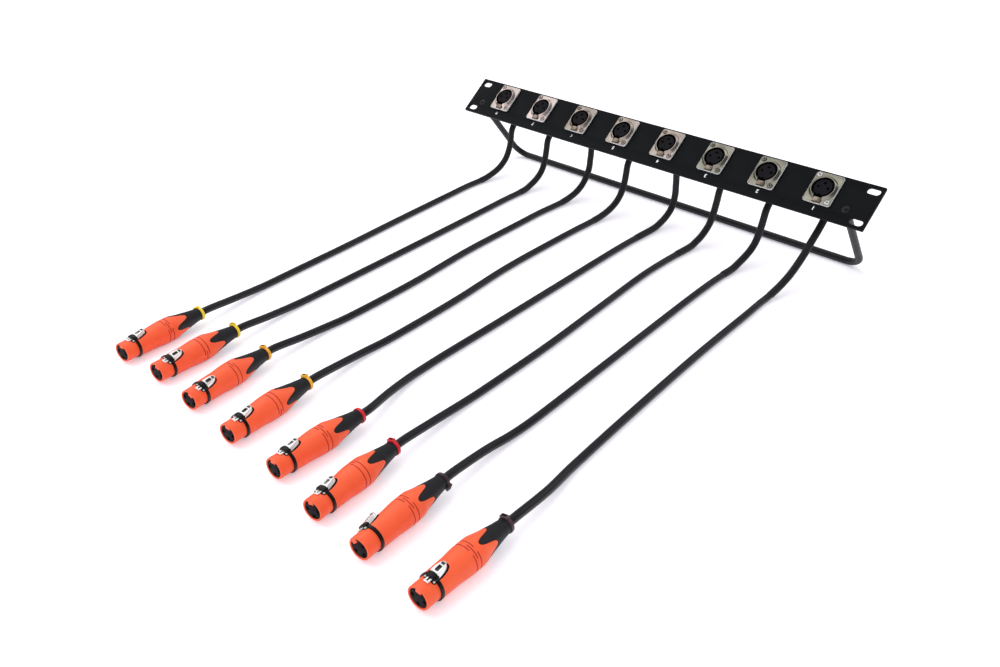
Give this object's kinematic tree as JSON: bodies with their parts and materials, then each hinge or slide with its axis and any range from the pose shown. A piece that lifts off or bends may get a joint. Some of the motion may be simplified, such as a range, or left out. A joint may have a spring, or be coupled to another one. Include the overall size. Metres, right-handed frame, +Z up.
{
  "type": "rack patch panel with tail cables",
  "caption": "Slim rack panel carrying a row of round three-pole sockets, with a bent lacing bar behind and a short tail cable from each socket to a line plug with a sprung latch.",
  "frame": {"origin": "on the floor under the middle of the panel and its bar, measured without the cables and plugs", "axes": "+X along the panel, -Y towards the plugs, +Z up"},
  "size_m": [0.4868, 0.5732, 0.0998],
  "materials": {
    "panel_black": "satin powder coat",
    "bar_black": "satin",
    "screw_black": "black oxide",
    "socket_nickel": "satin nickel",
    "insert_black": "moulded",
    "tab_steel": "satin nickel",
    "cable_black": "soft vinyl jacket",
    "plug_orange": "satin",
    "boot_black": "matte",
    "latch_steel": "bright"
  },
  "bodies": {
    "panel": {"rack_panel": "panel_black", "lacing_bar": "bar_black", "bar_screw_left": "screw_black", "bar_screw_right": "screw_black", "jack_shell_1": "socket_nickel", "jack_insert_1": "insert_black", "cable_1": "cable_black", "plug_shell_1": "plug_orange", "plug_core_1": "boot_black", "jack_shell_2": "socket_nickel", "jack_insert_2": "insert_black", "cable_2": "cable_black", "plug_shell_2": "plug_orange", "plug_core_2": "boot_black", "jack_shell_3": "socket_nickel", "jack_insert_3": "insert_black", "cable_3": "cable_black", "plug_shell_3": "plug_orange", "plug_core_3": "boot_black", "jack_shell_4": "socket_nickel", "jack_insert_4": "insert_black", "cable_4": "cable_black", "plug_shell_4": "plug_orange", "plug_core_4": "boot_black", "jack_shell_5": "socket_nickel", "jack_insert_5": "insert_black", "cable_5": "cable_black", "plug_shell_5": "plug_orange", "plug_core_5": "boot_black", "jack_shell_6": "socket_nickel", "jack_insert_6": "insert_black", "cable_6": "cable_black", "plug_shell_6": "plug_orange", "plug_core_6": "boot_black", "jack_shell_7": "socket_nickel", "jack_insert_7": "insert_black", "cable_7": "cable_black", "plug_shell_7": "plug_orange", "plug_core_7": "boot_black", "jack_shell_8": "socket_nickel", "jack_insert_8": "insert_black", "cable_8": "cable_black", "plug_shell_8": "plug_orange", "plug_core_8": "boot_black"},
    "jack_latch_1": {"jack_latch_1": "tab_steel"},
    "jack_latch_2": {"jack_latch_2": "tab_steel"},
    "jack_latch_3": {"jack_latch_3": "tab_steel"},
    "jack_latch_4": {"jack_latch_4": "tab_steel"},
    "jack_latch_5": {"jack_latch_5": "tab_steel"},
    "jack_latch_6": {"jack_latch_6": "tab_steel"},
    "jack_latch_7": {"jack_latch_7": "tab_steel"},
    "jack_latch_8": {"jack_latch_8": "tab_steel"},
    "plug_latch_1": {"plug_latch_1": "latch_steel"},
    "plug_latch_2": {"plug_latch_2": "latch_steel"},
    "plug_latch_3": {"plug_latch_3": "latch_steel"},
    "plug_latch_4": {"plug_latch_4": "latch_steel"},
    "plug_latch_5": {"plug_latch_5": "latch_steel"},
    "plug_latch_6": {"plug_latch_6": "latch_steel"},
    "plug_latch_7": {"plug_latch_7": "latch_steel"},
    "plug_latch_8": {"plug_latch_8": "latch_steel"}
  },
  "joints": [
    {"name": "jack_latch_1_press", "type": "slide", "parent": "panel", "child": "jack_latch_1", "axis": [0, 0.6468, -0.7627], "range_m": [0, 0.0015], "stiffness_N_per_m": 500},
    {"name": "jack_latch_2_press", "type": "slide", "parent": "panel", "child": "jack_latch_2", "axis": [0, 0.6468, -0.7627], "range_m": [0, 0.0015], "stiffness_N_per_m": 500},
    {"name": "jack_latch_3_press", "type": "slide", "parent": "panel", "child": "jack_latch_3", "axis": [0, 0.6468, -0.7627], "range_m": [0, 0.0015], "stiffness_N_per_m": 500},
    {"name": "jack_latch_4_press", "type": "slide", "parent": "panel", "child": "jack_latch_4", "axis": [0, 0.6468, -0.7627], "range_m": [0, 0.0015], "stiffness_N_per_m": 500},
    {"name": "jack_latch_5_press", "type": "slide", "parent": "panel", "child": "jack_latch_5", "axis": [0, 0.6468, -0.7627], "range_m": [0, 0.0015], "stiffness_N_per_m": 500},
    {"name": "jack_latch_6_press", "type": "slide", "parent": "panel", "child": "jack_latch_6", "axis": [0, 0.6468, -0.7627], "range_m": [0, 0.0015], "stiffness_N_per_m": 500},
    {"name": "jack_latch_7_press", "type": "slide", "parent": "panel", "child": "jack_latch_7", "axis": [0, 0.6468, -0.7627], "range_m": [0, 0.0015], "stiffness_N_per_m": 500},
    {"name": "jack_latch_8_press", "type": "slide", "parent": "panel", "child": "jack_latch_8", "axis": [0, 0.6468, -0.7627], "range_m": [0, 0.0015], "stiffness_N_per_m": 500},
    {"name": "plug_latch_1_press", "type": "hinge", "parent": "panel", "child": "plug_latch_1", "pos_m": [-0.1209, -0.51421, 0.01843], "axis": [-0.9824, -0.1732, 0.0698], "range_deg": [0, 8], "stiffness_Nm_per_rad": 0.2},
    {"name": "plug_latch_2_press", "type": "hinge", "parent": "panel", "child": "plug_latch_2", "pos_m": [-0.07283, -0.50881, 0.01794], "axis": [-0.9273, -0.1519, 0.342], "range_deg": [0, 8], "stiffness_Nm_per_rad": 0.2},
    {"name": "plug_latch_3_press", "type": "hinge", "parent": "panel", "child": "plug_latch_3", "pos_m": [-0.0222, -0.51008, 0.01772], "axis": [-0.8942, -0.1868, 0.4067], "range_deg": [0, 8], "stiffness_Nm_per_rad": 0.2},
    {"name": "plug_latch_4_press", "type": "hinge", "parent": "panel", "child": "plug_latch_4", "pos_m": [0.03098, -0.51246, 0.0184], "axis": [-0.9788, -0.1761, 0.1045], "range_deg": [0, 8], "stiffness_Nm_per_rad": 0.2},
    {"name": "plug_latch_5_press", "type": "hinge", "parent": "panel", "child": "plug_latch_5", "pos_m": [0.08506, -0.51162, 0.01843], "axis": [-0.9931, -0.0939, -0.0698], "range_deg": [0, 8], "stiffness_Nm_per_rad": 0.2},
    {"name": "plug_latch_6_press", "type": "hinge", "parent": "panel", "child": "plug_latch_6", "pos_m": [0.13403, -0.51803, 0.01832], "axis": [-0.9713, -0.1625, -0.1736], "range_deg": [0, 8], "stiffness_Nm_per_rad": 0.2},
    {"name": "plug_latch_7_press", "type": "hinge", "parent": "panel", "child": "plug_latch_7", "pos_m": [0.17678, -0.51908, 0.01596], "axis": [-0.7001, -0.0996, -0.7071], "range_deg": [0, 8], "stiffness_Nm_per_rad": 0.2},
    {"name": "plug_latch_8_press", "type": "hinge", "parent": "panel", "child": "plug_latch_8", "pos_m": [0.23711, -0.5191, 0.01843], "axis": [-0.9941, -0.0835, 0.0698], "range_deg": [0, 8], "stiffness_Nm_per_rad": 0.2}
  ]
}
